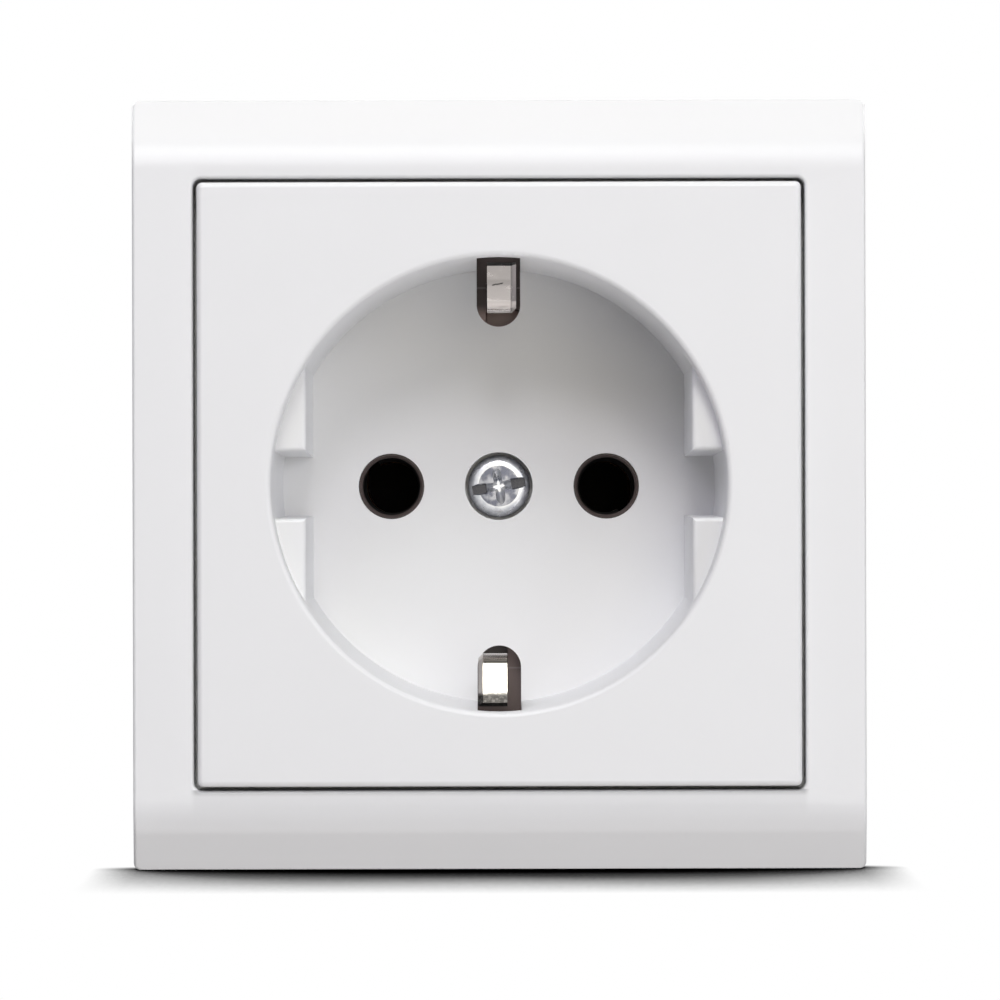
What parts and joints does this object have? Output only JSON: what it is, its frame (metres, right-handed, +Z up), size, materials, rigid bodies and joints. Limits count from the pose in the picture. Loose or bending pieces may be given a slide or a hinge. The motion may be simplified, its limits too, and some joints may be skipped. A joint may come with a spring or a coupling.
{
  "type": "wall socket",
  "caption": "Flush wall socket for earthed round-pin plugs: white frame and plate with a round well and earth tongues, contact base, support ring and hinged spreading claws.",
  "frame": {"origin": "on the wall plane, in the middle of the plug well and of the ring's screw circle", "axes": "+X to the right as seen from the front, +Z up, +Y into the wall, so the front faces -Y"},
  "size_m": [0.0638, 0.0407, 0.0664],
  "materials": {
    "white_plastic": "satin",
    "dark_phenolic": "satin",
    "zinc_steel": "satin",
    "galvanised_steel": "satin",
    "nickel_plate": "polished",
    "bronze": "satin",
    "spring_steel": "satin",
    "brass": "satin"
  },
  "bodies": {
    "socket": {"cover_frame": "white_plastic", "centre_plate": "white_plastic", "centre_screw": "zinc_steel", "contact_base": "dark_phenolic", "rear_cover": "dark_phenolic", "rear_cover_screw_top": "zinc_steel", "rear_cover_screw_bottom": "zinc_steel", "support_ring": "galvanised_steel", "claw_screw_left": "zinc_steel", "claw_screw_right": "zinc_steel", "earth_strap": "nickel_plate", "live_contact": "bronze", "neutral_contact": "bronze", "live_contact_spring": "spring_steel", "neutral_contact_spring": "spring_steel", "live_clamp": "brass", "neutral_clamp": "brass", "earth_clamp": "brass", "live_terminal_screw": "zinc_steel", "neutral_terminal_screw": "zinc_steel", "earth_terminal_screw": "zinc_steel"},
    "claw_left": {"claw_left": "galvanised_steel"},
    "claw_right": {"claw_right": "galvanised_steel"}
  },
  "joints": [
    {"name": "claw_left_spread", "type": "hinge", "parent": "socket", "child": "claw_left", "pos_m": [-0.0234, 0.0075, 0], "axis": [0, 0, 1], "range_deg": [0, 20]},
    {"name": "claw_right_spread", "type": "hinge", "parent": "socket", "child": "claw_right", "pos_m": [0.0234, 0.0075, 0], "axis": [0, 0, -1], "range_deg": [0, 20]}
  ]
}
